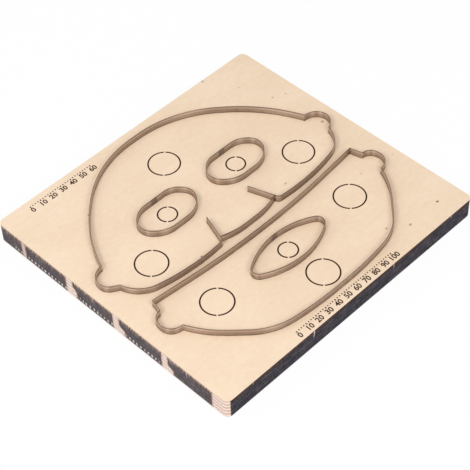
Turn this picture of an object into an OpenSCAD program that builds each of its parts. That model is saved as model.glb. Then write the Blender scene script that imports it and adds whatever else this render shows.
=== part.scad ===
// Steel rule die for a two-piece face mask.
// Bent steel cutting rules stand in laser-cut slots in a plywood board and show above its face.
// The origin is at the centre of the board's underside: X to the right, Y to the back, Z up, in mm.

/* [Board] */
// Width of the plywood board, left to right
board_w = 262; // [252:1:400]
// Depth of the plywood board, front to back
board_d = 242; // [235:1:400]
// Thickness of the plywood board
board_t = 17.5; // [12:0.5:20]
// Radius of the board's four upright corners
board_corner_r = 5; // [1:0.5:20]
// How far the mask's middle line stands to the right of the board's middle
mask_shift = -1.7; // [-5:0.1:5]
// Wood between the front edge and the chin rule
front_margin = 12.6; // [8:0.1:30]
// How much higher the upper piece starts than the lower piece ends
piece_gap = 3.2; // [2:0.1:20]

/* [Cutting rule] */
// Height of the rule from its foot to its cutting edge
rule_h = 23.8; // [22:0.1:30]
// Thickness of the rule
rule_t = 0.71; // [0.5:0.01:1.1]
// Angle between the two ground faces of the cutting edge
edge_angle = 42; // [30:1:70]
// Clearance between a rule's flat side and its slot
slot_fit = 0.05; // [0.02:0.01:0.15]
// Clearance between two rules where their ends meet
butt_gap = 0.1; // [0.05:0.01:0.3]

/* [Bridges] */
// Length of the uncut wood that bridges a slot
bridge_l = 8; // [4:0.5:10]
// Clearance around a bridge in the rule's notch
bridge_fit = 0.3; // [0.1:0.05:0.6]

/* [Upper piece] */
// Width over the two lugs
upper_w = 241; // [236:1:246]
// Height from the cheek rules to the top of the arch
upper_h = 128; // [124:1:132]
// Width between the feet of the arch
arch_foot_w = 215.6; // [210:0.2:220]
// Height of the arch's feet
arch_foot_h = 47.4; // [44:0.1:50]
// Width between the outer ends of the cheek rules
cheek_top_w = 221.4; // [216:0.2:226]
// Height of the outer ends of the cheek rules
cheek_top_h = 24.1; // [20:0.1:28]

/* [Nose flap] */
// Width between the feet of the two slits
slit_foot_w = 60; // [54:0.2:66]
// Height of the feet of the slits
slit_foot_h = 0.9; // [0.2:0.1:2]
// Width between the tips of the two slits
slit_tip_w = 43.4; // [38:0.2:52]
// Height of the tips of the slits
slit_tip_h = 26; // [18:0.5:32]
// Radius of the bend from a cheek into its slit
slit_bend_r = 3.5; // [2:0.1:5]
// Height at which the nose rule butts against the slits
nose_seat_h = 4.8; // [4:0.1:8]
// Height of the middle of the nose rule
nose_low_h = 0.5; // [0:0.1:2]

/* [Eyes] */
// Width of an eye loop
eye_w = 53; // [46:0.5:56]
// Height of an eye loop
eye_h = 31; // [26:0.5:34]
// Distance between the middles of the two eyes
eye_pitch = 72.8; // [68:0.2:78]
// Height of the middle of the eyes
eye_y = 52.7; // [50:0.1:56]

/* [Lower piece] */
// Width over the two lugs
lower_w = 233; // [228:1:238]
// Height from the chin rule to the upper corners
lower_h = 86; // [82:1:90]
// Width between the upper corners
lower_top_w = 209.2; // [204:0.2:212]
// How far the middle of the upper rule sags below its corners
lower_top_sag = 6.8; // [3:0.1:9]
// Width between the bends where the lugs begin
lower_side_w = 214.6; // [213:0.2:218]
// Height of the bends where the lugs begin
lower_side_h = 75.4; // [72:0.1:78]
// Radius of the bends where the lugs begin
lower_side_r = 1.2; // [0.8:0.1:2]
// Width between the ends of the chin rule
chin_top_w = 210; // [206:0.2:214]
// Height of the ends of the chin rule
chin_top_h = 54.4; // [50:0.1:58]

/* [Mouth] */
// Width of the mouth loop
mouth_w = 73.4; // [60:0.2:80]
// Height of the mouth loop
mouth_h = 29.4; // [24:0.2:34]
// Radius of the ends of the mouth loop
mouth_end_r = 6; // [4:0.1:8]
// How far the mouth's middle stands to the right of the mask's middle line
mouth_shift = -0.4; // [-2:0.1:2]
// Height of the middle of the mouth
mouth_y = 52.1; // [48:0.1:56]

/* [Round cuts] */
// Diameter of the large round cuts
large_cut_d = 25; // [18:0.5:28]
// Diameter of the small round cuts
small_cut_d = 15; // [10:0.5:18]
// Width of a laser cut
kerf_w = 0.7; // [0.3:0.05:1]
// Width of the two bridges that hold each round plug
plug_bridge_w = 1.3; // [0.8:0.1:3]
// Turn of the line through the two bridges
plug_bridge_turn = 45; // [0:5:90]
// Length of the laser's run-in beside the arch
run_in_l = 1.8; // [1:0.1:4]

/* [Hidden] */
$fn = 180;

// How far a cutting shape runs past the face that it cuts
overrun = 1;
// Height of the two ground faces of the cutting edge
edge_h = rule_t / 2 / tan(edge_angle / 2);
// A rule's end runs on past its corner by its own thickness before it is mitred
mitre_run = rule_t;
// Farthest that a flat between two stations of a rule lies from the true curve
chord_fit = 0.012;
// Most degrees that a rule turns between two stations
station_turn = 9;
// Width and length of the block that cuts a mitre
mitre_block = 6 * rule_t;
// The notch in a rule's foot clears the bridge at both ends and above
notch_l = bridge_l + 2 * bridge_fit;
notch_h = board_t + bridge_fit;
// Straights shorter than this are left out of a chain
least_run = 0.01;
// Bends below this many degrees are left straight
least_turn = 0.05;

// Places of the two pieces' lowest lines on the board
lower_place = [mask_shift, front_margin - board_d / 2];
upper_place = lower_place + [0, lower_h + piece_gap];

// Bend points between the named corners. Each row is a share of the width, a share of the height
// and the share of the shorter neighbouring straight that the bend takes up.
arch_shares = [[0.372, 1, 0.5], [0.877, 0.4, 0.9]];
upper_lug_shares = [[0.78, 0.93, 0.72], [1.15, 0.3, 0.58]];
cheek_shares = [[0.959, 0.331, 0.91], [0.717, 0.078, 0.42], [0.463, -0.036, 0.74]];
nose_shares = [[0.6, 0, 0.95]];
eye_shares = [[0.345, 0.5, 0.5], [0.563, 0.01, 0.5], [0.304, -0.5, 0.5]];
lower_top_shares = [[0.356, 0, 0.5]];
lower_lug_shares = [[0.82, 0.98, 0.85], [1.15, 0.12, 0.75]];
chin_shares = [[0.939, 0.728, 0.95], [0.612, 0.097, 0.45], [0.238, 0, 0.5]];
// A tight bend takes up no more than this share of the straight beside it
tight_bend_share = 0.45;
// Place of an eye loop's butt joint along its upper straight
eye_joint_share = -0.05;

// Bridges along each rule, as shares of its length
arch_bridge_shares = [0.08, 0.25, 0.42, 0.58, 0.75, 0.92];
upper_lug_bridge_shares = [0.5];
cheek_bridge_shares = [0.17, 0.53];
nose_bridge_shares = [0.5];
eye_bridge_shares = [0.14, 0.5, 0.86];
lower_top_bridge_shares = [0.125, 0.375, 0.625, 0.875];
lower_lug_bridge_shares = [0.62];
chin_bridge_shares = [0.1, 0.3, 0.5, 0.7, 0.9];
mouth_bridge_shares = [0.12, 0.38, 0.62, 0.88];

// Middles of the round cuts, as shares of half the piece's width and of its height
upper_cut_shares = [[-0.01, 0.732], [-0.647, 0.207], [0.655, 0.209]];
lower_cut_shares = [[-0.608, 0.643], [0.606, 0.644], [0.011, 0.223]];
// Middle of the round cut in an eye and in the mouth, above the loop's own middle
eye_cut_share = 0.015;
mouth_cut_share = 0.01;
// Place of the laser's run-in along the arch
run_in_share = 0.2;

wood = [0.95, 0.86, 0.74];
steel = [0.6, 0.52, 0.45];

// A path is a list of corners: an end is [x, y], a wide bend is [x, y, share]
// and a tight bend is [x, y, share, radius].
function place(p) = [p[0], p[1]];
function toward(a) = [cos(a), sin(a)];
function heading(path, i) = atan2(path[i + 1][1] - path[i][1], path[i + 1][0] - path[i][0]);
function span(path, i) = norm(place(path[i + 1]) - place(path[i]));
function half_turn(a) = a > 180 ? a - 360 : a < -180 ? a + 360 : a;
function turn(path, i) = half_turn(heading(path, i) - heading(path, i - 1));
function is_end(path, i) = i == 0 || i == len(path) - 1;

// Length of straight that the bend at corner i asks for on each side
function widest_setback(path, i) = path[i][2] * min(span(path, i - 1), span(path, i));
function tight_setback(path, i) = path[i][3] * tan(abs(turn(path, i)) / 2);
function wanted_setback(path, i) =
    is_end(path, i) || abs(turn(path, i)) < least_turn ? 0 :
    len(path[i]) < 4 ? widest_setback(path, i) :
    min(widest_setback(path, i), tight_setback(path, i));
// What it gets: two bends that ask for more than their shared straight both give way
function room(path, i) =
    span(path, i) / max(wanted_setback(path, i) + wanted_setback(path, i + 1), least_run);
function setback(path, i) =
    is_end(path, i) ? 0 : wanted_setback(path, i) * min(1, room(path, i - 1), room(path, i));

// A chain is a list of runs: [x, y, heading, length, radius], where a straight has radius zero
// and a left-hand bend has a positive radius.
function straight_run(path, i) =
    let (start = place(path[i]) + setback(path, i) * toward(heading(path, i)))
    [start[0], start[1], heading(path, i), span(path, i) - setback(path, i) - setback(path, i + 1), 0];
function bend_run(path, i) =
    let (start = place(path[i]) - setback(path, i) * toward(heading(path, i - 1)))
    let (radius = setback(path, i) / tan(turn(path, i) / 2))
    [start[0], start[1], heading(path, i - 1), radius * turn(path, i) * PI / 180, radius];
function chain(path) = [
    for (i = [0 : len(path) - 2])
        each concat(
            straight_run(path, i)[3] > least_run ? [straight_run(path, i)] : [],
            setback(path, i + 1) > 0 ? [bend_run(path, i + 1)] : []
        )
];

// Place and heading at a distance along one run, and along the whole chain
function spot_on(run, d) =
    let (swung = run[4] == 0 ? 0 : d / run[4] * 180 / PI)
    let (middle = place(run) + run[4] * toward(run[2] + 90))
    let (there = run[4] == 0 ? place(run) + d * toward(run[2]) : middle + run[4] * toward(run[2] - 90 + swung))
    [there[0], there[1], run[2] + swung];
function spot(runs, d, i = 0) =
    i == len(runs) - 1 || d <= runs[i][3] ? spot_on(runs[i], d) : spot(runs, d - runs[i][3], i + 1);
function chain_length(runs, i = 0) = i == len(runs) ? 0 : runs[i][3] + chain_length(runs, i + 1);
function chain_start(runs) = spot(runs, 0);
function chain_end(runs) = spot(runs, chain_length(runs));
function distance_to(runs, i) = i == 0 ? 0 : distance_to(runs, i - 1) + runs[i - 1][3];

// Stations are places and headings along the chain, close together where it bends tightly.
// The chain starts before its first corner, or ends past its last, by the given amounts.
function steps(run) =
    run[4] == 0 ? 1 :
    ceil(max(abs(run[3] / run[4]) * 180 / PI / station_turn, run[3] / sqrt(8 * chord_fit * abs(run[4]))));
function stations(runs, before = 0, past = 0) = concat(
    [spot(runs, -before)],
    [for (i = [0 : len(runs) - 1])
        for (k = [(i == 0 ? 1 : 0) : 1 : steps(runs[i]) - 1])
            spot(runs, distance_to(runs, i) + runs[i][3] * k / steps(runs[i]))],
    [spot_on(runs[len(runs) - 1], runs[len(runs) - 1][3] + past)]
);
function beside(station, offset) = place(station) + offset * toward(station[2] + 90);
function side_line(runs, offset, before = 0, past = 0) =
    [for (station = stations(runs, before, past)) beside(station, offset)];

// The same corners on the other side of the middle line, and a whole path from its right half
function reflected(path) = [for (p = path) [for (k = [0 : len(p) - 1]) k == 0 ? -p[0] : p[k]]];
function reversed(path) = [for (i = [len(path) - 1 : -1 : 0]) path[i]];
function whole(right_half) = concat(reversed(reflected(right_half)), right_half);

// Corners of the upper piece's right half, from the mask's middle line and the cheeks' lowest line
arch_foot = [arch_foot_w / 2, arch_foot_h];
cheek_top = [cheek_top_w / 2, cheek_top_h];
slit_foot = [slit_foot_w / 2, slit_foot_h];
slit_tip = [slit_tip_w / 2, slit_tip_h];
nose_seat_share = (nose_seat_h - slit_foot_h) / (slit_tip_h - slit_foot_h);
nose_seat = slit_foot + nose_seat_share * (slit_tip - slit_foot);
upper_lug_reach = upper_w / 2 - arch_foot[0];

arch_path = whole(concat(
    [for (s = arch_shares) [s[0] * arch_foot[0], arch_foot[1] + s[1] * (upper_h - arch_foot[1]), s[2]]],
    [arch_foot]
));
upper_lug_path = concat(
    [arch_foot],
    [for (s = upper_lug_shares)
        [arch_foot[0] + s[0] * upper_lug_reach, cheek_top[1] + s[1] * (arch_foot[1] - cheek_top[1]), s[2]]],
    [cheek_top]
);
cheek_path = concat(
    [cheek_top],
    [for (s = cheek_shares) [s[0] * cheek_top[0], s[1] * cheek_top[1], s[2]]],
    [[slit_foot[0], slit_foot[1], tight_bend_share, slit_bend_r], slit_tip]
);
nose_path = whole(concat(
    [for (s = nose_shares) [s[0] * nose_seat[0], nose_low_h + s[1] * (nose_seat_h - nose_low_h), s[2]]],
    [nose_seat]
));

// The eye loop starts and ends at its butt joint, and its middle is at zero
eye_half = [for (s = eye_shares) [s[0] * eye_w, s[1] * eye_h, s[2]]];
eye_joint = [eye_joint_share * eye_w, eye_h / 2];
eye_path = concat([eye_joint], eye_half, reversed(reflected(eye_half)), [eye_joint]);

// Corners of the lower piece's right half, from the mask's middle line and the chin's lowest line
lower_top = [lower_top_w / 2, lower_h];
lower_side = [lower_side_w / 2, lower_side_h];
chin_top = [chin_top_w / 2, chin_top_h];
lower_lug_reach = lower_w / 2 - lower_side[0];

lower_top_path = whole(concat(
    [for (s = lower_top_shares) [s[0] * lower_top[0], lower_h - (1 - s[1]) * lower_top_sag, s[2]]],
    [lower_top]
));
lower_lug_path = concat(
    [lower_top, [lower_side[0], lower_side[1], tight_bend_share, lower_side_r]],
    [for (s = lower_lug_shares)
        [lower_side[0] + s[0] * lower_lug_reach, chin_top[1] + s[1] * (lower_side[1] - chin_top[1]), s[2]]],
    [chin_top]
);
chin_path = whole(concat(
    [for (s = reversed(chin_shares)) [s[0] * chin_top[0], s[1] * chin_top[1], s[2]]],
    [chin_top]
));

// The mouth is an oval of four arcs: two wide ones of side_r and two ends of mouth_end_r
end_middle_x = mouth_w / 2 - mouth_end_r;
mouth_side_r = (pow(end_middle_x, 2) + pow(mouth_h / 2, 2) - pow(mouth_end_r, 2)) / (mouth_h - 2 * mouth_end_r);
mouth_side_turn = atan2(end_middle_x, mouth_side_r - mouth_h / 2);
mouth_side_x = mouth_side_r * tan(mouth_side_turn / 2);
mouth_end_x = end_middle_x + mouth_end_r / sin(mouth_side_turn);
mouth_half = [
    [mouth_side_x, mouth_h / 2, 1, mouth_side_r],
    [mouth_end_x, 0, 1, mouth_end_r],
    [mouth_side_x, -mouth_h / 2, 1, mouth_side_r],
];
mouth_path = concat([[0, mouth_h / 2]], mouth_half, reversed(reflected(mouth_half)), [[0, mouth_h / 2]]);

arch_runs = chain(arch_path);
upper_lug_runs = chain(upper_lug_path);
cheek_runs = chain(cheek_path);
nose_runs = chain(nose_path);
eye_runs = chain(eye_path);
lower_top_runs = chain(lower_top_path);
lower_lug_runs = chain(lower_lug_path);
chin_runs = chain(chin_path);
mouth_runs = chain(mouth_path);

// Corners of the rule's section, as [across to the left, up]: a flat strip with a centre bevel
rule_section = [
    [-rule_t / 2, 0],
    [rule_t / 2, 0],
    [rule_t / 2, rule_h - edge_h],
    [0, rule_h],
    [-rule_t / 2, rule_h - edge_h],
];

// The rule's section carried along a chain, as one closed skin
module strip(runs, before = 0, past = 0) {
    line = stations(runs, before, past);
    n = len(rule_section);
    points = [for (station = line) for (p = rule_section) concat(beside(station, p[0]), [p[1]])];
    sides = [
        for (i = [0 : len(line) - 2])
            for (j = [0 : n - 1])
                let (k = (j + 1) % n) [i * n + k, i * n + j, (i + 1) * n + j, (i + 1) * n + k]
    ];
    start_cap = [for (j = [0 : n - 1]) j];
    end_cap = [for (j = [n - 1 : -1 : 0]) (len(line) - 1) * n + j];
    polyhedron(points, concat([start_cap], sides, [end_cap]));
}

// Flat band of a given width along a chain, and the same for a closed loop
module band(runs, width, before = 0, past = 0) {
    polygon(concat(
        side_line(runs, width / 2, before, past),
        reversed(side_line(runs, -width / 2, before, past))
    ));
}
module ring_band(runs, width) {
    difference() {
        polygon(side_line(runs, width / 2));
        polygon(side_line(runs, -width / 2));
    }
}

// Puts a shape at each bridge, its x along the rule
module at_bridges(runs, shares) {
    for (s = shares) {
        there = spot(runs, s * chain_length(runs));
        translate(place(there)) rotate(there[2]) children();
    }
}

// A rule standing on its foot, with a notch over each bridge
module bent_rule(runs, bridge_shares, before = 0, past = 0) {
    difference() {
        strip(runs, before, past);
        at_bridges(runs, bridge_shares)
            translate([-notch_l / 2, -rule_t, -overrun]) cube([notch_l, 2 * rule_t, notch_h + overrun]);
    }
}

// Outline of the slot for a rule or a loop, interrupted by its bridges
slot_w = rule_t + 2 * slot_fit;
module slot(runs, bridge_shares, before = 0, past = 0) {
    difference() {
        band(runs, slot_w, before, past);
        at_bridges(runs, bridge_shares) square([bridge_l, 2 * rule_t], center = true);
    }
}
module loop_slot(runs, bridge_shares) {
    difference() {
        ring_band(runs, slot_w);
        at_bridges(runs, bridge_shares) square([bridge_l, 2 * rule_t], center = true);
    }
}

// What lies ahead of a corner's mitre, seen along the given heading
module mitre(corner, along) {
    translate([corner[0], corner[1], -overrun])
        rotate([0, 0, along])
            translate([-butt_gap / 2, -mitre_block / 2, 0])
                cube([mitre_block, mitre_block, rule_h + 2 * overrun]);
}

// Heading halfway between the rule that arrives at a corner and the one that leaves it
function between(arriving, leaving) =
    chain_end(arriving)[2] + half_turn(chain_start(leaving)[2] - chain_end(arriving)[2]) / 2;

// The end of a rule that arrives at a corner, and the start of the one that leaves it
module mitre_end(arriving, leaving) {
    mitre(chain_end(arriving), between(arriving, leaving));
}
module mitre_start(arriving, leaving) {
    mitre(chain_start(leaving), between(arriving, leaving) + 180);
}

module in_upper() {
    translate(upper_place) children();
}
module in_lower() {
    translate(lower_place) children();
}
module at_right_eye() {
    translate([eye_pitch / 2, eye_y]) children();
}
module at_mouth() {
    translate([mouth_shift, mouth_y]) children();
}
module on_left() {
    mirror([1, 0]) children();
}
module both_sides() {
    children();
    on_left() children();
}

// A closed loop, parted by the gap at its butt joint
module loop_rule(runs, bridge_shares) {
    bent_rule(runs, bridge_shares, -butt_gap / 2, -butt_gap / 2);
}

// Rules of the right half, from the mask's middle line
module arch_strip() {
    difference() {
        bent_rule(arch_runs, arch_bridge_shares, mitre_run, mitre_run);
        both_sides() mitre_end(arch_runs, upper_lug_runs);
    }
}
module upper_lug_strip() {
    difference() {
        bent_rule(upper_lug_runs, upper_lug_bridge_shares, mitre_run, mitre_run);
        mitre_start(arch_runs, upper_lug_runs);
        mitre_end(upper_lug_runs, cheek_runs);
    }
}
module cheek_strip() {
    difference() {
        bent_rule(cheek_runs, cheek_bridge_shares, mitre_run, 0);
        mitre_start(upper_lug_runs, cheek_runs);
    }
}
module nose_strip() {
    difference() {
        bent_rule(nose_runs, nose_bridge_shares);
        translate([0, 0, -overrun])
            linear_extrude(rule_h + 2 * overrun)
                both_sides() band(cheek_runs, rule_t + 2 * butt_gap);
    }
}
module lower_top_strip() {
    difference() {
        bent_rule(lower_top_runs, lower_top_bridge_shares, mitre_run, mitre_run);
        both_sides() mitre_end(lower_top_runs, lower_lug_runs);
    }
}
module lower_lug_strip() {
    difference() {
        bent_rule(lower_lug_runs, lower_lug_bridge_shares, mitre_run, mitre_run);
        mitre_start(lower_top_runs, lower_lug_runs);
        mitre_end(lower_lug_runs, chain(reversed(chin_path)));
    }
}
module chin_strip() {
    difference() {
        bent_rule(chin_runs, chin_bridge_shares, mitre_run, mitre_run);
        both_sides() mitre_start(lower_lug_runs, chain(reversed(chin_path)));
    }
}

// Outline of the board with its rounded corners
module board_outline() {
    inner_w = board_w - 2 * board_corner_r;
    inner_d = board_d - 2 * board_corner_r;
    square([inner_w, board_d], center = true);
    square([board_w, inner_d], center = true);
    for (x = [-inner_w / 2, inner_w / 2], y = [-inner_d / 2, inner_d / 2])
        translate([x, y]) circle(board_corner_r);
}

// A round laser cut whose plug still hangs on two bridges
module round_cut(d) {
    difference() {
        circle(d = d + kerf_w);
        circle(d = d - kerf_w);
        rotate(plug_bridge_turn) square([2 * d, plug_bridge_w], center = true);
    }
}

// Where the laser entered the wood beside the arch
module run_in() {
    there = spot(arch_runs, run_in_share * chain_length(arch_runs));
    translate(place(there)) rotate(there[2]) translate([-kerf_w / 2, 0]) square([kerf_w, run_in_l]);
}

module upper_cuts() {
    slot(arch_runs, arch_bridge_shares, mitre_run, mitre_run);
    slot(nose_runs, nose_bridge_shares);
    run_in();
    both_sides() {
        slot(upper_lug_runs, upper_lug_bridge_shares, mitre_run, mitre_run);
        slot(cheek_runs, cheek_bridge_shares, mitre_run, slot_fit);
        at_right_eye() loop_slot(eye_runs, eye_bridge_shares);
    }
    for (x = [-eye_pitch / 2, eye_pitch / 2])
        translate([x, eye_y + eye_cut_share * eye_h]) round_cut(small_cut_d);
    for (s = upper_cut_shares)
        translate([s[0] * upper_w / 2, s[1] * upper_h]) round_cut(large_cut_d);
}

module lower_cuts() {
    slot(lower_top_runs, lower_top_bridge_shares, mitre_run, mitre_run);
    slot(chin_runs, chin_bridge_shares, mitre_run, mitre_run);
    both_sides() slot(lower_lug_runs, lower_lug_bridge_shares, mitre_run, mitre_run);
    at_mouth() {
        loop_slot(mouth_runs, mouth_bridge_shares);
        translate([0, mouth_cut_share * mouth_h]) round_cut(small_cut_d);
    }
    for (s = lower_cut_shares)
        translate([s[0] * lower_w / 2, s[1] * lower_h]) round_cut(large_cut_d);
}

module plywood_board() {
    color(wood)
        linear_extrude(board_t)
            difference() {
                board_outline();
                in_upper() upper_cuts();
                in_lower() lower_cuts();
            }
}
module arch_rule() {
    color(steel) in_upper() arch_strip();
}
module upper_lug_rule_left() {
    color(steel) in_upper() on_left() upper_lug_strip();
}
module upper_lug_rule_right() {
    color(steel) in_upper() upper_lug_strip();
}
module cheek_rule_left() {
    color(steel) in_upper() on_left() cheek_strip();
}
module cheek_rule_right() {
    color(steel) in_upper() cheek_strip();
}
module nose_rule() {
    color(steel) in_upper() nose_strip();
}
module eye_rule_left() {
    color(steel) in_upper() on_left() at_right_eye() loop_rule(eye_runs, eye_bridge_shares);
}
module eye_rule_right() {
    color(steel) in_upper() at_right_eye() loop_rule(eye_runs, eye_bridge_shares);
}
module lower_top_rule() {
    color(steel) in_lower() lower_top_strip();
}
module lower_lug_rule_left() {
    color(steel) in_lower() on_left() lower_lug_strip();
}
module lower_lug_rule_right() {
    color(steel) in_lower() lower_lug_strip();
}
module chin_rule() {
    color(steel) in_lower() chin_strip();
}
module mouth_rule() {
    color(steel) in_lower() at_mouth() loop_rule(mouth_runs, mouth_bridge_shares);
}

plywood_board();
arch_rule();
upper_lug_rule_left();
upper_lug_rule_right();
cheek_rule_left();
cheek_rule_right();
nose_rule();
eye_rule_left();
eye_rule_right();
lower_top_rule();
lower_lug_rule_left();
lower_lug_rule_right();
chin_rule();
mouth_rule();
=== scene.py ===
# Looks of a steel rule die: laser-cut plywood with charred edges, and bent steel cutting rules.
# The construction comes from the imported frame. This script gives it finishes, burnt scales and a stage.

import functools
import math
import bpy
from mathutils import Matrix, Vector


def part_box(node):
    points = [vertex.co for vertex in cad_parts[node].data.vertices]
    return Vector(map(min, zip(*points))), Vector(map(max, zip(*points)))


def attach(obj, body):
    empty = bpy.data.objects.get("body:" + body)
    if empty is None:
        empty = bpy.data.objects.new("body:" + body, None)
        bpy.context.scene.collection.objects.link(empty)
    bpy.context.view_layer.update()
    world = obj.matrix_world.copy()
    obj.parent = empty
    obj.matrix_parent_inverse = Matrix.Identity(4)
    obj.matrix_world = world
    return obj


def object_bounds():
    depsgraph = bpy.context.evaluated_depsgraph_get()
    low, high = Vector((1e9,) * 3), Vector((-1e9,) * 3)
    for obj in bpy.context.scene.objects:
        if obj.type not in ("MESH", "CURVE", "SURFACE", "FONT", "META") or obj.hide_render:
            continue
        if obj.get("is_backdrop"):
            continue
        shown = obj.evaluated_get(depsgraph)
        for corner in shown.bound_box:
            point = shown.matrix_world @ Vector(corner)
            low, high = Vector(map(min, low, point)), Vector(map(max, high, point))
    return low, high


bl_info = {
    "name": "Steel rule die",
    "version": (1, 0, 0),
    "blender": (4, 5, 0),
    "location": "View3D > Sidebar > Rule die",
    "description": "Finishes a steel rule die with plywood, char and bent steel rule",
    "category": "Object",
}

import bpy
from mathutils import Quaternion, Vector

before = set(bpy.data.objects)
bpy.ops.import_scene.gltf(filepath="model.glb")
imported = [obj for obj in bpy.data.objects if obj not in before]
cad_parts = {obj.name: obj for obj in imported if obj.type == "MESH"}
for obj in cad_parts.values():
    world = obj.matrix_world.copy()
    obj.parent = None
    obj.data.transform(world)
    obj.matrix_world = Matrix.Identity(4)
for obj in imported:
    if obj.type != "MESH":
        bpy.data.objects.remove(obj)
CAD_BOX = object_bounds()

MM = 0.001
BOARD = "plywood_board"
BOARD_LOW, BOARD_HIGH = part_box(BOARD)
RULES = sorted(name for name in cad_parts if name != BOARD)
RULE_TOP = max(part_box(name)[1].z for name in RULES)

# The board from its middle and its underside, and the rules above its face, in millimetres
HALF_WIDTH = BOARD_HIGH.x / MM
HALF_DEPTH = BOARD_HIGH.y / MM
THICKNESS = BOARD_HIGH.z / MM
TIP_HEIGHT = (RULE_TOP - BOARD_HIGH.z) / MM

# Knots in the top veneer, as x, y and radius in millimetres, and how dark they are
KNOTS = [
    (109.6, -104.4, 1.3, 0.9),
    (77.9, -104.8, 1.5, 0.55),
    (62.8, -94.5, 1.2, 0.5),
    (124.5, -47.4, 0.75, 0.35),
    (114.9, 16.9, 1.6, 0.6),
    (45.5, -8.5, 1.4, 0.42),
    (108.2, 64.9, 1.2, 0.4),
    (118.7, 60.5, 1.1, 0.4),
    (98.1, 93.2, 1.0, 0.32),
    (83.3, 119.7, 1.4, 0.5),
    (-50.2, -14.5, 1.0, 0.8),
    (92.3, -43.0, 1.0, 0.3),
]

# A knot is squeezed across the grain, and fades from its core to its rim, as shares of its radius
KNOT_SQUEEZE = 1.2
KNOT_CORE = 0.3
KNOT_RIM = 1.3

# Middles of the round cuts, as x, y and radius in millimetres
ROUND_CUTS = [
    (-2.9, 74.5, 12.5),
    (-79.7, 7.3, 12.5),
    (77.2, 7.6, 12.5),
    (-72.5, -53.1, 12.5),
    (68.9, -53.0, 12.5),
    (-0.4, -89.2, 12.5),
    (-38.1, 34.0, 7.5),
    (34.7, 34.0, 7.5),
    (-2.1, -56.0, 7.5),
]
CUT_WIDTH = 0.7
CUT_BRIDGE = 1.3

# How far from a rule the wood is darkened, in millimetres: laser scorch along the slot, and painted
# contact shade beside the rule
SLOT_REACH = 0.8

# Bare gaps in the left and right edges, where tabs held the board in its sheet. Each is its start
# and end along the edge, how far its front side leans back below, and the depth where that begins.
TABS = [
    (-140.0, -105.9, 0.0, 9.0),
    (-62.8, -56.1, 5.5, 10.5),
    (-12.8, -5.8, 6.0, 9.5),
    (36.8, 44.5, 4.0, 7.0),
    (89.8, 94.3, 0.0, 9.0),
]

# Light flecks in a lower ply of the left and right edges, in millimetres
FLECK_PITCH = 3.82
FLECK_START = 64.6
FLECK_DEPTH = 14.1
FLECK_HALF_WIDTH = 0.95
FLECK_HALF_HEIGHT = 1.5
FLECK_RUN = (-56.0, 104.0)

# Light scratches down the burnt edges, as place along the edge, width, depth and strength
FRONT_SCRATCHES = [
    (-105.8, 0.8, 3.5, 0.5),
    (-44.3, 1.0, 9.5, 0.9),
    (40.7, 1.0, 6.0, 0.6),
    (105.9, 1.2, 4.0, 0.4),
]
SIDE_SCRATCHES = [
    (-81.1, 0.8, 9.0, 0.7),
    (15.5, 0.8, 8.5, 0.5),
    (-69.5, 7.0, 3.2, 0.35),
]

# Butt joints of the loops, as x and y in millimetres
LOOP_JOINTS = [(34.2, 48.8), (-37.8, 49.4), (-2.1, -41.6)]

# Scales burnt into the face, as how many numbers, and the first mark's x and the numbers' foot y
SCALES = {
    "front_scale": (11, -54.0, -118.6),
    "back_scale": (7, -104.0, 109.0),
}

# Marks between two numbers and one more, the share of a text size that its numbers fill, how far
# the middle of the burnt layer lies above the wood as a share of its thickness, and how round the
# ends of a mark are as a share of its width
SCALE_STEPS = 4
NUMBER_SHARE = 0.7
BURN_LIFT = 0.25
MARK_ROUNDING = 0.45

# Soft lamps, as turn from the camera and elevation in degrees, distance and size in metres
LAMPS = {
    "key_left": (-34, 45, 1.7, 0.5),
    "key_right": (33, 45, 1.7, 0.5),
    "fill": (-95, 40, 1.7, 1.4),
    "overhead": (180, 75, 1.8, 1.4),
}

# Floor, and the nearest and farthest things that the camera sees, in metres
FLOOR_SIZE = 8.0
FLOOR_DROP = 0.2 * MM
SIGHT = (0.05, 20.0)

# How strongly bare wood mirrors light
WOOD_SPECULAR = 0.2


def colour(red, green, blue):
    """A colour given on the usual 0 to 255 scale, as the shader's linear values."""
    levels = []
    for level in (red, green, blue):
        part = level / 255
        levels.append(part / 12.92 if part <= 0.04045 else ((part + 0.055) / 1.055) ** 2.4)
    return (*levels, 1.0)


# Colours that no look sets: wood, then char from dark to light, then steel and the burnt lines
KNOT_BROWN = colour(92, 60, 38)
PORE_BROWN = colour(158, 134, 124)
TORN_WHITE = colour(246, 240, 236)
SMOKE_BROWN = colour(140, 112, 100)
LAST_TAB_BROWN = colour(150, 124, 112)
TEETH_PALE = colour(214, 184, 160)
FLECK_WHITE = colour(236, 228, 224)
BURNT_WALL = colour(50, 22, 6)
CHAR_BLACK = colour(24, 23, 30)
CHAR_DEEP = colour(34, 34, 44)
CHAR_BROWN = colour(74, 62, 66)
CHAR_WORN = colour(104, 98, 98)
CHAR_PLY = colour(104, 100, 114)
CHAR_GREY = colour(126, 122, 134)
CHAR_PALE = colour(170, 150, 140)
JOINT_GREY = colour(98, 90, 84)
ROLLING_BROWN = colour(84, 70, 62)
BURN_PALE = colour(92, 64, 46)


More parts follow.
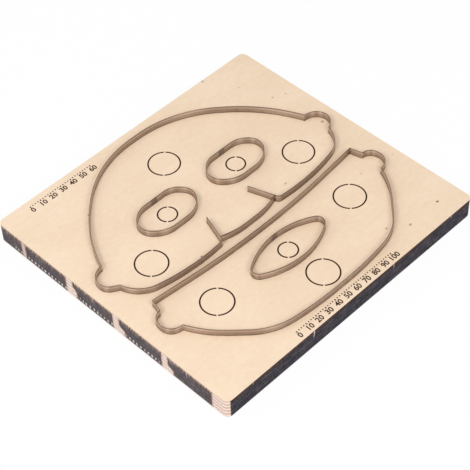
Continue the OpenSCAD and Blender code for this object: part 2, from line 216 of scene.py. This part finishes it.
class Value:
    """A shader output on which Python sums add Math nodes."""

    def __init__(self, shader, socket):
        self.shader = shader
        self.socket = socket

    def math(self, operation, *others):
        return self.shader.math(operation, self, *others)

    def __add__(self, other):
        return self.math("ADD", other)

    def __radd__(self, other):
        return self.math("ADD", other)

    def __sub__(self, other):
        return self.math("SUBTRACT", other)

    def __rsub__(self, other):
        return self.shader.math("SUBTRACT", other, self)

    def __mul__(self, other):
        return self.math("MULTIPLY", other)

    def __rmul__(self, other):
        return self.math("MULTIPLY", other)

    def __truediv__(self, other):
        return self.math("DIVIDE", other)

    def __abs__(self):
        return self.math("ABSOLUTE")

    def least(self, other):
        return self.math("MINIMUM", other)

    def most(self, other):
        return self.math("MAXIMUM", other)

    def hypot(self, other):
        return (self * self + other * other).math("SQRT")

    def rise(self, low, high):
        """Zero up to low, one from high, and smooth between them."""
        settings = {"interpolation_type": "SMOOTHSTEP"}
        return self.shader.node("ShaderNodeMapRange", settings, [self, low, high, 0.0, 1.0])

    def fall(self, low, high):
        return 1.0 - self.rise(low, high)


class Shader:
    """A material whose nodes are added by calls and sums."""

    def __init__(self, name):
        self.material = bpy.data.materials.new(name)
        self.material.use_nodes = True
        self.tree = self.material.node_tree
        self.tree.nodes.clear()

    def node(self, kind, settings=None, inputs=None, output=0):
        """Adds a node: its settings first, then the values or links of its sockets."""
        node = self.tree.nodes.new(kind)
        for name, setting in (settings or {}).items():
            setattr(node, name, setting)
        pairs = inputs.items() if isinstance(inputs, dict) else enumerate(inputs or [])
        for key, value in pairs:
            socket = node.inputs[key]
            if isinstance(value, Value):
                self.tree.links.new(value.socket, socket)
            else:
                socket.default_value = value
        return Value(self, node.outputs[output]) if node.outputs else None

    def math(self, operation, *terms):
        return self.node("ShaderNodeMath", {"operation": operation}, terms)

    def millimetres(self):
        """The object's own x, y and z in millimetres."""
        place = self.node("ShaderNodeTexCoord", output="Object")
        parts = self.node("ShaderNodeSeparateXYZ", inputs=[place])
        return [Value(self, socket) / MM for socket in parts.socket.node.outputs]

    def point(self, x, y, z=0.0):
        return self.node("ShaderNodeCombineXYZ", inputs=[x, y, z])

    def noise(self, x, y, z=0.0, detail=2.0, roughness=0.5):
        inputs = {"Vector": self.point(x, y, z), "Scale": 1.0, "Detail": detail, "Roughness": roughness}
        return self.node("ShaderNodeTexNoise", inputs=inputs)

    def mix(self, share, first, second):
        """A colour between two others."""
        settings = {"data_type": "RGBA"}
        return self.node("ShaderNodeMix", settings, {0: share, 6: first, 7: second}, output=2)

    def blend(self, share, first, second):
        """A number between two others."""
        settings = {"data_type": "FLOAT"}
        return self.node("ShaderNodeMix", settings, {0: share, 2: first, 3: second})

    def nearness(self, reach):
        """Zero in the open, and up to about a half where another surface stands within reach."""
        inputs = {"Distance": reach * MM}
        return 1.0 - self.node("ShaderNodeAmbientOcclusion", {"samples": 8}, inputs, "AO")

    def bump(self, height, strength, distance):
        inputs = {"Strength": strength, "Distance": distance, "Height": height}
        return self.node("ShaderNodeBump", inputs=inputs)

    def surface(self, **inputs):
        """Ends the material in one Principled shader."""
        named = {name.replace("_", " "): value for name, value in inputs.items()}
        shader = self.node("ShaderNodeBsdfPrincipled", inputs=named)
        self.node("ShaderNodeOutputMaterial", inputs={"Surface": shader})
        return self.material


def strongest(masks):
    """The highest of several masks at each spot."""
    return functools.reduce(Value.most, masks)


class PlywoodLook(bpy.types.PropertyGroup):
    """Settings of the plywood board."""

    wood_light: bpy.props.FloatVectorProperty(
        name="Light wood",
        description="Colour of the palest grain in the face veneer",
        subtype="COLOR",
        size=4,
        default=colour(250, 227, 201),
    )
    wood_dark: bpy.props.FloatVectorProperty(
        name="Dark wood",
        description="Colour of the darkest grain in the face veneer",
        subtype="COLOR",
        size=4,
        default=colour(238, 212, 183),
    )
    ply_light: bpy.props.FloatVectorProperty(
        name="Light ply",
        description="Colour of a bare ply whose grain runs along the edge",
        subtype="COLOR",
        size=4,
        default=colour(248, 232, 222),
    )
    ply_dark: bpy.props.FloatVectorProperty(
        name="Dark ply",
        description="Colour of a bare ply whose grain ends at the edge",
        subtype="COLOR",
        size=4,
        default=colour(219, 186, 168),
    )
    glue: bpy.props.FloatVectorProperty(
        name="Glue line",
        description="Colour of the glue between two plies",
        subtype="COLOR",
        size=4,
        default=colour(180, 146, 130),
    )
    scorch: bpy.props.FloatVectorProperty(
        name="Scorch",
        description="Colour of wood that the laser only browned",
        subtype="COLOR",
        size=4,
        default=colour(76, 45, 24),
    )
    kerf: bpy.props.FloatVectorProperty(
        name="Kerf",
        description="Colour of the burnt lines of the round cuts",
        subtype="COLOR",
        size=4,
        default=colour(86, 44, 12),
    )
    char: bpy.props.FloatVectorProperty(
        name="Char",
        description="Colour of wood that the laser burnt black",
        subtype="COLOR",
        size=4,
        default=colour(54, 52, 61),
    )
    face_ply: bpy.props.FloatProperty(
        name="Face ply",
        description="Thickness of the sanded outer plies, in millimetres",
        default=1.35,
        min=0.2,
        max=2.0,
    )
    inner_ply: bpy.props.FloatProperty(
        name="Inner ply",
        description="Thickness of the other plies, in millimetres",
        default=1.75,
        min=0.8,
        max=3.0,
    )


class RuleLook(bpy.types.PropertyGroup):
    """Settings of the steel rules."""

    steel: bpy.props.FloatVectorProperty(
        name="Steel",
        description="Colour of the rule's flat side",
        subtype="COLOR",
        size=4,
        default=colour(176, 153, 135),
    )
    band: bpy.props.FloatVectorProperty(
        name="Hardened band",
        description="Colour of the paler band right below the ground edge",
        subtype="COLOR",
        size=4,
        default=colour(200, 180, 163),
    )
    ground: bpy.props.FloatVectorProperty(
        name="Ground edge",
        description="Colour of the two ground faces",
        subtype="COLOR",
        size=4,
        default=colour(146, 125, 109),
    )
    # Colour of the dark band at the rule's foot, which is part soot and part painted contact shade and
    # painted reflection of the dark slot; the random stains use it too
    soot: bpy.props.FloatVectorProperty(
        name="Soot",
        description="Colour of the steel just above the burnt slot",
        subtype="COLOR",
        size=4,
        default=colour(112, 88, 72),
    )
    roughness: bpy.props.FloatProperty(
        name="Roughness",
        description="How dull the rolled steel is",
        default=0.43,
        min=0.05,
        max=1.0,
    )
    brushing: bpy.props.FloatProperty(
        name="Brushing",
        description="How much further highlights spread across the rolling marks than along them",
        default=0.96,
        min=0.0,
        max=1.0,
    )


class ScaleLook(bpy.types.PropertyGroup):
    """Settings of the burnt scales."""

    burn: bpy.props.FloatVectorProperty(
        name="Burn",
        description="Colour of the burnt lines",
        subtype="COLOR",
        size=4,
        default=colour(44, 30, 22),
    )
    pitch: bpy.props.FloatProperty(
        name="Pitch",
        description="Distance between two numbers, which count it in millimetres",
        default=10 * MM,
        unit="LENGTH",
    )
    number_height: bpy.props.FloatProperty(
        name="Number height",
        description="Height of the numbers",
        default=4.5 * MM,
        unit="LENGTH",
    )
    long_mark: bpy.props.FloatProperty(
        name="Long mark",
        description="Length of the marks that have a number",
        default=1.5 * MM,
        unit="LENGTH",
    )
    short_mark: bpy.props.FloatProperty(
        name="Short mark",
        description="Length of the marks between them",
        default=1.0 * MM,
        unit="LENGTH",
    )
    stroke: bpy.props.FloatProperty(
        name="Stroke",
        description="Width of a burnt line",
        default=0.7 * MM,
        unit="LENGTH",
    )
    thickness: bpy.props.FloatProperty(
        name="Thickness",
        description="Thickness of the burnt layer, most of it above the wood",
        default=0.04 * MM,
        unit="LENGTH",
    )


class StageLook(bpy.types.PropertyGroup):
    """Settings of the camera and the light."""

    azimuth: bpy.props.FloatProperty(
        name="Azimuth",
        description="Turn of the view from the board's front towards its left, in degrees",
        default=43.775,
    )
    elevation: bpy.props.FloatProperty(
        name="Elevation",
        description="Height of the view above the floor, in degrees",
        default=47.862,
    )
    roll: bpy.props.FloatProperty(
        name="Roll",
        description="Turn of the camera about its own axis, in degrees",
        default=-2.247,
    )
    distance: bpy.props.FloatProperty(
        name="Distance",
        description="From the camera to the point that it looks at",
        default=1131.4 * MM,
        unit="LENGTH",
    )
    aim_x: bpy.props.FloatProperty(
        name="Aim X",
        description="Where the camera looks on the board's face, from its middle to the right",
        default=-18.4 * MM,
        unit="LENGTH",
    )
    aim_y: bpy.props.FloatProperty(
        name="Aim Y",
        description="Where the camera looks on the board's face, from its middle to the back",
        default=-17.5 * MM,
        unit="LENGTH",
    )
    lens: bpy.props.FloatProperty(
        name="Lens",
        description="Focal length in millimetres on a 36 mm sensor",
        default=117.4,
    )
    sky: bpy.props.FloatProperty(
        name="Sky",
        description="Even light from all round, where 1 shows a white surface as white",
        default=0.5,
        min=0.0,
        max=1.0,
    )
    key_left: bpy.props.FloatProperty(
        name="Left key lamp",
        description="Light on the board's face, where 1 shows a white surface as white",
        default=0.2,
        min=0.0,
        max=1.0,
    )
    key_right: bpy.props.FloatProperty(
        name="Right key lamp",
        description="Light on the board's face, where 1 shows a white surface as white",
        default=0.16,
        min=0.0,
        max=1.0,
    )
    fill: bpy.props.FloatProperty(
        name="Fill lamp",
        description="Light on the board's face, where 1 shows a white surface as white",
        default=0.1,
        min=0.0,
        max=1.0,
    )
    overhead: bpy.props.FloatProperty(
        name="Overhead lamp",
        description="Light on the board's face, where 1 shows a white surface as white",
        default=0.08,
        min=0.0,
        max=1.0,
    )


def knot_spots(x, y):
    """The knots, from zero to how dark each is."""
    spots = []
    for place_x, place_y, radius, dark in KNOTS:
        away = (x - place_x).hypot((y - place_y) * KNOT_SQUEEZE)
        spots.append(away.fall(radius * KNOT_CORE, radius * KNOT_RIM) * dark)
    return strongest(spots)


def scorched_rings(x, y):
    """The round cuts, scorched all round but for the two bridges that hold the plug."""
    rings = []
    for place_x, place_y, radius in ROUND_CUTS:
        away_x = x - place_x
        away_y = y - place_y
        beside = abs(away_x.hypot(away_y) - radius)
        cut = abs(away_x - away_y).rise(CUT_BRIDGE * 0.45, CUT_BRIDGE * 0.8)
        rings.append(beside.fall(CUT_WIDTH * 0.7, CUT_WIDTH * 1.15) * cut)
    return strongest(rings)


def veneer(shader, x, y, z, look):
    """Face veneer with its grain along x, a few knots, scorch beside the round cuts, darkening beside the
    rules that is part scorch and part painted contact shade, and painted light that darkens it towards
    the right.
    """
    patch = shader.noise(x / 60.0, y / 35.0)
    mottle = shader.noise(x / 5.5, y / 3.5, 9.0)
    grain = shader.noise(x / 14.0, y / 1.9, z / 20.0, 3.0, 0.6)
    fleck = shader.noise(x / 1.6, y / 0.6, 7.0, 2.0, 0.6)
    pore = shader.noise(x / 3.0, y / 0.35, 3.0, 1.0).rise(0.66, 0.78)
    # Painted light: the face darkens slightly towards the right, as if lit from the left
    lean = x / HALF_WIDTH * 0.06
    fine = (grain - 0.5) * 0.25 + (fleck - 0.5) * 0.5 - pore * 0.3
    tone = 0.5 + (patch - 0.5) * 0.8 + (mottle - 0.5) * 0.6 + fine - lean
    wood = shader.mix(tone.rise(0.0, 1.0), look.wood_dark, look.wood_light)
    wood = shader.mix(knot_spots(x, y), wood, KNOT_BROWN)
    wood = shader.mix(scorched_rings(x, y) * 0.95, wood, look.kerf)
    # Scorch along the rule slots, and painted contact shade: the wood darkens wherever a rule stands
    # close
    scorch_and_contact_shade = shader.nearness(SLOT_REACH).rise(0.2, 0.46)
    wood = shader.mix(scorch_and_contact_shade * 0.55, wood, look.scorch)
    return wood, grain * 0.5 + fleck * 0.5 - pore * 0.4


def scratches(places, position, depth, rough):
    """Upright light scratches that fade out below."""
    lines = []
    for place, width, reach, strength in places:
        line = abs(position - place + depth * 0.08 + rough * 0.9).fall(width * 0.3, width * 0.7)
        lines.append(line * depth.fall(reach * 0.3, reach) * strength)
    return strongest(lines)


class CutEdge:
    """Board's outer edge: bare plies where a tab was torn off, and char where the laser cut."""

    def __init__(self, shader, x, y, z, look):
        self.shader = shader
        self.x = x
        self.y = y
        self.z = z
        self.look = look
        self.depth = THICKNESS - z
        self.along = x + y
        self.sides = ((abs(x) - HALF_WIDTH) - (abs(y) - HALF_DEPTH)).rise(-0.3, 0.3)
        self.rough = shader.noise(y / 1.2, z / 1.8, 2.0, 3.0, 0.65) - 0.5

        # Every other ply shows its end grain, and a thin glue line parts each from the next
        pair = ((self.depth - look.face_ply) / (2 * look.inner_ply)).math("FRACT")
        self.end_grain = pair.rise(0.5, 0.56) * pair.fall(0.94, 1.0)
        self.glue = abs(abs(pair - 0.5) - 0.25).rise(0.19, 0.24)

    def bare_plies(self):
        """Plies that the laser didn't reach, darker where they show their end grain."""
        shader, look = self.shader, self.look
        fibre = shader.noise(self.along / 6.0, self.z / 0.3, 1.0, 2.0, 0.6)
        pores = shader.noise(self.along / 0.6, self.z / 0.5, 5.0, 2.0)
        bare = shader.mix(self.end_grain * (0.5 + pores), look.ply_light, look.ply_dark)
        bare = shader.mix((1.0 - self.end_grain) * fibre.rise(0.5, 0.8) * 0.5, bare, look.ply_dark)
        bare = shader.mix(pores.rise(0.56, 0.7) * self.sides * 0.4, bare, PORE_BROWN)
        bare = shader.mix(self.glue * 0.7, bare, look.glue)
        torn = self.sides * self.y.rise(-104.0, -100.0) * (0.12 + self.rough * 1.3).most(0.0)
        return shader.mix(torn, bare, TORN_WHITE)

    def into_tab(self):
        """How far a spot lies inside a bare gap, in millimetres, where each gap leans back below."""
        tabs = []
        for start, end, lean, lean_depth in TABS:
            front = start - self.depth.rise(lean_depth - 1.5, lean_depth + 3.0) * lean
            loose = 2.6 + self.depth.rise(lean_depth, lean_depth + 3.0) * lean * 1.4
            tabs.append((self.y - front + self.rough * loose).least(end - self.y + self.rough * 2.0))
        return strongest(tabs)

    def flecks(self):
        """A row of light flecks where a lower ply has chipped away."""
        y = self.y
        drift = self.shader.noise(y / 9.0, 4.0, 0.0, 1.0) - 0.5
        size = self.shader.noise(y / 4.5, 11.0, 0.0, 1.0)
        chip = self.shader.noise(y / 0.9, self.z / 1.1, 6.0, 3.0, 0.7) - 0.5
        step = ((y - FLECK_START + drift * 4.0) / FLECK_PITCH + 0.5).math("FRACT")
        across = abs(step - 0.5) * FLECK_PITCH
        down = self.depth - FLECK_DEPTH + drift * 3.0
        away = (across / FLECK_HALF_WIDTH).hypot(down / FLECK_HALF_HEIGHT)
        fleck = (away + chip * 1.6 + (0.5 - size) * 1.8).fall(0.6, 1.0)
        first, last = FLECK_RUN
        return fleck * y.rise(first, first + 5.0) * y.fall(last - 1.0, last)

    def bare_share(self, tab_share):
        """Where bare wood shows: tabs, scratches, the pale foot line and the front's left corner."""
        x, y, depth = self.x, self.y, self.depth
        foot = depth.rise(THICKNESS - 1.1, THICKNESS - 0.6)
        side_scratches = scratches(SIDE_SCRATCHES, y, depth, self.rough)
        side_bare = strongest([tab_share, side_scratches, foot * 0.9])
        corner = (abs(x) - HALF_WIDTH).rise(-3.5, -3.0) * x.fall(0.0, 1.0) * y.fall(0.0, 1.0)
        front_bare = corner.most(scratches(FRONT_SCRATCHES, x, depth, self.rough))
        return self.shader.blend(self.sides, front_bare, side_bare)

    def char(self, near_tab):
        """Upright lines from the laser's pulses, over plies that burnt more and less."""
        shader, look = self.shader, self.look
        x, y, z, depth, sides = self.x, self.y, self.z, self.depth, self.sides
        pulse = shader.noise(x / 2.2, y / 2.2, z / 8.0 + self.along * 0.02, 4.0, 0.75)
        cloud = shader.noise(x / 7.0, y / 7.0, z / 3.0, 3.0)
        spark = shader.noise(x / 1.4, y / 1.4, z / 2.6, 3.0, 0.7)
        patch = shader.noise(x / 12.0, y / 12.0, z / 3.5 + 8.0, 3.0, 0.65)
        ragged = shader.noise(self.along / 1.3, 3.0, 0.0, 4.0, 0.7)

        char = shader.mix(cloud.rise(0.42, 0.6) * 0.8, look.char, CHAR_BROWN)
        char = shader.mix(pulse.rise(0.42, 0.6) * 0.8, char, CHAR_BLACK)
        char = shader.mix(spark.rise(0.5, 0.66) * (0.22 + 0.28 * sides), char, CHAR_GREY)
        char = shader.mix((1.0 - self.end_grain) * (0.22 + 0.1 * sides), char, CHAR_PLY)
        char = shader.mix(self.glue * 0.35, char, CHAR_BLACK)
        char = shader.mix(patch.fall(0.36, 0.5) * 0.5, char, CHAR_DEEP)
        char = shader.mix(patch.rise(0.5, 0.66) * 0.4, char, CHAR_WORN)

        # Brown below the top face and beside a tab, and ragged pale teeth at the top of the sides
        brown_top = depth.fall(1.0, 5.0) * (0.3 + cloud)
        brown_side = sides * (near_tab * 0.7).most(cloud.rise(0.5, 0.7) * 0.4)
        char = shader.mix(brown_top.most(brown_side).least(1.0) * 0.75, char, look.scorch)
        pale = sides * (pulse.fall(0.34, 0.52) * depth.fall(2.5, 8.0) * 0.5 + 0.12)
        char = shader.mix(pale, char, CHAR_PALE)
        teeth = (depth - 0.1 - ragged.rise(0.36, 0.72) * 4.5).fall(-0.4, 0.4)
        char = shader.mix(sides * teeth * 0.75, char, TEETH_PALE)
        char = shader.mix(sides * self.flecks() * 0.8, char, FLECK_WHITE)
        return char, pulse * 1.2 + spark * 0.6 - self.glue * 0.4

    def finish(self):
        """Colour and height of the whole edge."""
        shader = self.shader
        into_tab = self.into_tab()
        tab_share = into_tab.rise(-0.3, 0.3)
        smoky = into_tab.fall(0.2, 1.8) * into_tab.rise(-0.6, 0.0)
        near_tab = into_tab.rise(-4.0, -0.2) * (1.0 - tab_share)
        char, height = self.char(near_tab)
        edge = shader.mix(self.bare_share(tab_share), char, self.bare_plies())
        edge = shader.mix(self.sides * smoky * 0.5, edge, SMOKE_BROWN)
        last_tab = self.sides * self.y.rise(80.0, 86.0) * tab_share
        return shader.mix(last_tab * 0.3, edge, LAST_TAB_BROWN), height


def plywood_material(look):
    """Pale veneer above and below, burnt cut walls, and edges that are char or bare plies."""
    shader = Shader("Laser-cut plywood")
    x, y, z = shader.millimetres()
    depth = THICKNESS - z
    wood, wood_height = veneer(shader, x, y, z, look)
    edge, edge_height = CutEdge(shader, x, y, z, look).finish()
    outside = (abs(x) - HALF_WIDTH).most(abs(y) - HALF_DEPTH).rise(-2.2, -2.0)
    face = depth.fall(0.01, 0.03).most(z.fall(0.01, 0.03))
    wall = shader.mix(outside, BURNT_WALL, edge)
    finish = shader.mix(face, wall, wood)
    height = face * wood_height + (1.0 - face) * edge_height
    rough = 0.85 - face * 0.25
    normal = shader.bump(height, 0.3, 0.12 * MM)
    return shader.surface(
        Base_Color=finish,
        Roughness=rough,
        Specular_IOR_Level=WOOD_SPECULAR,
        Normal=normal,
    )


def rule_material(look):
    """Rolled steel with a paler hardened band, a ground edge, and a dark band where it leaves the board,
    part soot and part painted shade and painted reflection of the dark slot.
    """
    shader = Shader("Steel rule")
    x, y, z = shader.millimetres()
    above = z - THICKNESS
    rolled = shader.noise(x / 40.0, y / 40.0, z / 0.16, 4.0, 0.7)
    stain = shader.noise(x / 6.0, y / 6.0, z / 2.5, 3.0)
    nicks = shader.noise(x / 0.5, y / 0.5, z / 4.0, 2.0)
    joints = []
    for place_x, place_y in LOOP_JOINTS:
        joints.append((x - place_x).hypot(y - place_y).fall(2.4, 3.8))

    band = above.rise(3.4, 4.3)
    ground = above.rise(TIP_HEIGHT - 0.98, TIP_HEIGHT - 0.8)
    # Dark band at the rule's foot: part soot, part painted contact shade and painted reflection of the
    # dark slot
    soot = above.fall(0.2, 1.5) * above.rise(-1.5, -0.2)
    steel = shader.mix(stain.rise(0.45, 0.75) * 0.3, look.steel, look.soot)
    steel = shader.mix(band, steel, look.band)
    steel = shader.mix(ground, steel, look.ground)
    steel = shader.mix(soot * 0.6, steel, look.soot)
    steel = shader.mix(strongest(joints) * 0.55, steel, JOINT_GREY)
    steel = shader.mix(rolled.rise(0.45, 0.75) * 0.2, steel, ROLLING_BROWN)
    rough = look.roughness - ground * 0.1 + (rolled - 0.5) * 0.1 + (stain - 0.5) * 0.1
    normal = shader.bump(rolled * 0.7 + nicks * 0.3, 0.25, 0.03 * MM)
    return shader.surface(
        Base_Color=steel,
        Metallic=1.0,
        Roughness=rough,
        Anisotropic=look.brushing,
        Anisotropic_Rotation=0.25,
        Normal=normal,
    )


def burnt_line_material(look):
    """Wood burnt dark brown by a quick pass of the laser."""
    shader = Shader("Burnt line")
    x, y = shader.millimetres()[:2]
    pulse = shader.noise(x / 0.35, y / 0.35, 0.0, 2.0, 0.6)
    burn = shader.mix(pulse.rise(0.35, 0.7), look.burn, BURN_PALE)
    normal = shader.bump(pulse, 0.4, 0.05 * MM)
    return shader.surface(
        Base_Color=burn,
        Roughness=0.9,
        Specular_IOR_Level=WOOD_SPECULAR,
        Normal=normal,
    )


def floor_material():
    """Plain white floor that keeps a soft shadow and shows white to the camera and in the metal."""
    shader = Shader("Studio floor")
    path = shader.node("ShaderNodeLightPath").socket.node.outputs
    seen = ("Is Camera Ray", "Is Glossy Ray", "Is Transmission Ray")
    rays = [Value(shader, path[name]) for name in seen]
    plain = shader.node("ShaderNodeBsdfDiffuse", inputs={"Color": (0.95, 0.95, 0.95, 1.0)})
    white = shader.node("ShaderNodeEmission", inputs={"Color": (1.0, 1.0, 1.0, 1.0), "Strength": 1.0})
    mixed = shader.node("ShaderNodeMixShader", inputs=[strongest(rays) * 0.95, plain, white])
    shader.node("ShaderNodeOutputMaterial", inputs={"Surface": mixed})
    return shader.material


def finish_with(node_names, material):
    """Gives CAD nodes a finish through their own material slots."""
    for name in node_names:
        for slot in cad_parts[name].material_slots:
            slot.material = material


class RULEDIE_OT_plywood(bpy.types.Operator):
    """Finish the plywood board."""

    bl_idname = "ruledie.plywood"
    bl_label = "Plywood board"

    def execute(self, context):
        finish_with([BOARD], plywood_material(context.scene.ruledie_plywood))
        return {"FINISHED"}


class RULEDIE_OT_rules(bpy.types.Operator):
    """Finish the bent steel rules."""

    bl_idname = "ruledie.rules"
    bl_label = "Steel rules"

    def execute(self, context):
        finish_with(RULES, rule_material(context.scene.ruledie_rule))
        return {"FINISHED"}


class RULEDIE_OT_scales(bpy.types.Operator):
    """Burn two plain scales into the board's face."""

    bl_idname = "ruledie.scales"
    bl_label = "Burnt scales"

    def execute(self, context):
        look = context.scene.ruledie_scales
        material = burnt_line_material(look)
        for name, (count, start, foot) in SCALES.items():
            scale = self.scale(look, count, start * MM, foot * MM)
            scale.name = name
            scale.data.name = name
            scale.data.materials.clear()
            scale.data.materials.append(material)
            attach(scale, "root")
        return {"FINISHED"}

    def scale(self, look, count, start, foot):
        """One scale, made of numbers and of long and short marks, as a single mesh."""
        top = foot + look.number_height + look.stroke * 0.6 + look.long_mark
        long_mark = self.mark(look, look.long_mark)
        short_mark = self.mark(look, look.short_mark)
        parts = [long_mark, short_mark]
        for step in range(SCALE_STEPS * (count - 1) + 1):
            place = start + step * look.pitch / SCALE_STEPS
            if step % SCALE_STEPS:
                parts.append(self.copy_to(short_mark, place, top))
            else:
                parts.append(self.copy_to(long_mark, place, top))
                parts.append(self.number(look, step // SCALE_STEPS, place, foot))
        bpy.ops.object.select_all(action="DESELECT")
        long_mark.select_set(True)
        short_mark.select_set(True)
        bpy.ops.object.delete()
        for part in parts[2:]:
            part.select_set(True)
        bpy.context.view_layer.objects.active = parts[2]
        bpy.ops.object.join()
        scale = bpy.context.object
        bpy.ops.object.transform_apply(location=True, rotation=True, scale=True)
        return scale

    def level(self, look):
        """Height of the middle of the burnt layer."""
        return BOARD_HIGH.z + look.thickness * BURN_LIFT

    def mark(self, look, length):
        """A short stroke with round ends that hangs down from zero."""
        bpy.ops.object.select_all(action="DESELECT")
        bpy.ops.mesh.primitive_cube_add(size=1.0)
        mark = bpy.context.object
        bpy.ops.object.mode_set(mode="EDIT")
        bpy.ops.mesh.select_all(action="SELECT")
        bpy.ops.transform.resize(value=(look.stroke, length, look.thickness))
        bpy.ops.transform.translate(value=(0, -length / 2, self.level(look)))
        bpy.ops.object.mode_set(mode="OBJECT")
        for edge in mark.data.edges:
            low, high = (mark.data.vertices[number].co for number in edge.vertices)
            edge.select = abs(low.z - high.z) > look.thickness / 2
        bpy.ops.object.mode_set(mode="EDIT")
        bpy.ops.mesh.bevel(offset=look.stroke * MARK_ROUNDING, segments=3, affect="EDGES")
        bpy.ops.object.mode_set(mode="OBJECT")
        return mark

    def copy_to(self, mark, place, top):
        """Another mark with a mesh of its own."""
        copy = mark.copy()
        copy.data = mark.data.copy()
        bpy.context.scene.collection.objects.link(copy)
        copy.location = (place, top, 0)
        return copy

    def number(self, look, count, place, foot):
        """One upright number, as a closed mesh."""
        bpy.ops.object.select_all(action="DESELECT")
        bpy.ops.object.text_add()
        text = bpy.context.object
        text.data.body = str(round(count * look.pitch / MM))
        text.data.align_x = "CENTER"
        text.data.size = look.number_height / NUMBER_SHARE
        text.data.offset = look.stroke * 0.25
        text.data.extrude = look.thickness / 2
        text.data.resolution_u = 3
        bpy.ops.object.convert(target="MESH")
        number = bpy.context.object
        bpy.ops.object.mode_set(mode="EDIT")
        bpy.ops.mesh.select_all(action="SELECT")
        bpy.ops.mesh.remove_doubles(threshold=0.001 * MM)
        bpy.ops.mesh.normals_make_consistent(inside=False)
        bpy.ops.object.mode_set(mode="OBJECT")
        number.location = (place, foot, self.level(look))
        return number


class RULEDIE_OT_stage(bpy.types.Operator):
    """Set up the camera, the floor, the sky and the soft lamps."""

    bl_idname = "ruledie.stage"
    bl_label = "Stage"

    def execute(self, context):
        look = context.scene.ruledie_stage
        aim = Vector((look.aim_x, look.aim_y, BOARD_HIGH.z))
        self.camera(context, look, aim)
        self.floor()
        self.sky(context, look)
        for name, (turn, elevation, distance, size) in LAMPS.items():
            way = self.way(look.azimuth - turn, elevation)
            self.lamp(context, name, way, distance, size, getattr(look, name))
        context.scene.view_settings.view_transform = "Standard"
        return {"FINISHED"}

    def way(self, azimuth, elevation):
        """Direction from the board, with its azimuth turned from the front to the left."""
        turn = math.radians(azimuth)
        rise = math.radians(elevation)
        level = math.cos(rise)
        return Vector((-math.sin(turn) * level, -math.cos(turn) * level, math.sin(rise)))

    def camera(self, context, look, aim):
        back = self.way(look.azimuth, look.elevation)
        data = bpy.data.cameras.new("Camera")
        data.lens = look.lens
        data.clip_start, data.clip_end = SIGHT
        camera = bpy.data.objects.new("Camera", data)
        context.scene.collection.objects.link(camera)
        camera.location = aim + back * look.distance
        camera.rotation_mode = "QUATERNION"
        straight = (-back).to_track_quat("-Z", "Y")
        camera.rotation_quaternion = straight @ Quaternion((0, 0, 1), math.radians(look.roll))
        context.scene.camera = camera

    def floor(self):
        bpy.ops.object.select_all(action="DESELECT")
        bpy.ops.mesh.primitive_plane_add(size=FLOOR_SIZE, location=(0, 0, BOARD_LOW.z - FLOOR_DROP))
        floor = bpy.context.object
        floor.name = "studio_floor"
        floor.data.materials.append(floor_material())
        floor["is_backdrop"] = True

    def sky(self, context, look):
        """Even light that the camera and mirroring surfaces see as plain white."""
        world = bpy.data.worlds.new("Studio sky")
        world.use_nodes = True
        nodes = world.node_tree.nodes
        links = world.node_tree.links
        background = nodes["Background"]
        background.inputs["Color"].default_value = (1.0, 1.0, 1.0, 1.0)
        path = nodes.new("ShaderNodeLightPath")
        seen = nodes.new("ShaderNodeMath")
        seen.operation = "MAXIMUM"
        links.new(path.outputs["Is Camera Ray"], seen.inputs[0])
        links.new(path.outputs["Is Glossy Ray"], seen.inputs[1])
        strength = nodes.new("ShaderNodeMapRange")
        strength.inputs["To Min"].default_value = look.sky
        strength.inputs["To Max"].default_value = 1.0
        links.new(seen.outputs[0], strength.inputs["Value"])
        links.new(strength.outputs[0], background.inputs["Strength"])
        context.scene.world = world

    def lamp(self, context, name, way, distance, size, share):
        """Area lamp that gives the face its share of the light that shows white as white."""
        data = bpy.data.lights.new(name, "AREA")
        data.size = size
        data.energy = share * math.pi**2 * distance**2 / way.z
        lamp = bpy.data.objects.new(name, data)
        context.scene.collection.objects.link(lamp)
        lamp.location = way * distance
        lamp.rotation_mode = "QUATERNION"
        lamp.rotation_quaternion = (-way).to_track_quat("-Z", "Y")


class RULEDIE_PT_panel(bpy.types.Panel):
    """Sidebar with the steps and their settings."""

    bl_label = "Rule die"
    bl_idname = "RULEDIE_PT_panel"
    bl_space_type = "VIEW_3D"
    bl_region_type = "UI"
    bl_category = "Rule die"

    def draw(self, context):
        for operator in OPERATORS:
            self.layout.operator(operator.bl_idname)
        for name in LOOKS:
            look = getattr(context.scene, name)
            box = self.layout.box()
            for field in look.bl_rna.properties:
                if field.identifier not in ("rna_type", "name"):
                    box.prop(look, field.identifier)


OPERATORS = [RULEDIE_OT_stage, RULEDIE_OT_plywood, RULEDIE_OT_rules, RULEDIE_OT_scales]
LOOKS = {
    "ruledie_plywood": PlywoodLook,
    "ruledie_rule": RuleLook,
    "ruledie_scales": ScaleLook,
    "ruledie_stage": StageLook,
}
CLASSES = [*LOOKS.values(), *OPERATORS, RULEDIE_PT_panel]


def register():
    for kind in CLASSES:
        bpy.utils.register_class(kind)
    for name, kind in LOOKS.items():
        setattr(bpy.types.Scene, name, bpy.props.PointerProperty(type=kind))


def unregister():
    for name in LOOKS:
        delattr(bpy.types.Scene, name)
    for kind in reversed(CLASSES):
        bpy.utils.unregister_class(kind)


def main():
    register()
    bpy.ops.ruledie.stage()
    bpy.ops.ruledie.plywood()
    bpy.ops.ruledie.rules()
    bpy.ops.ruledie.scales()
    boxes = {"cad": CAD_BOX, "scene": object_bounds()}
    plain = {name: [list(corner) for corner in corners] for name, corners in boxes.items()}


if __name__ == "__main__":
    main()
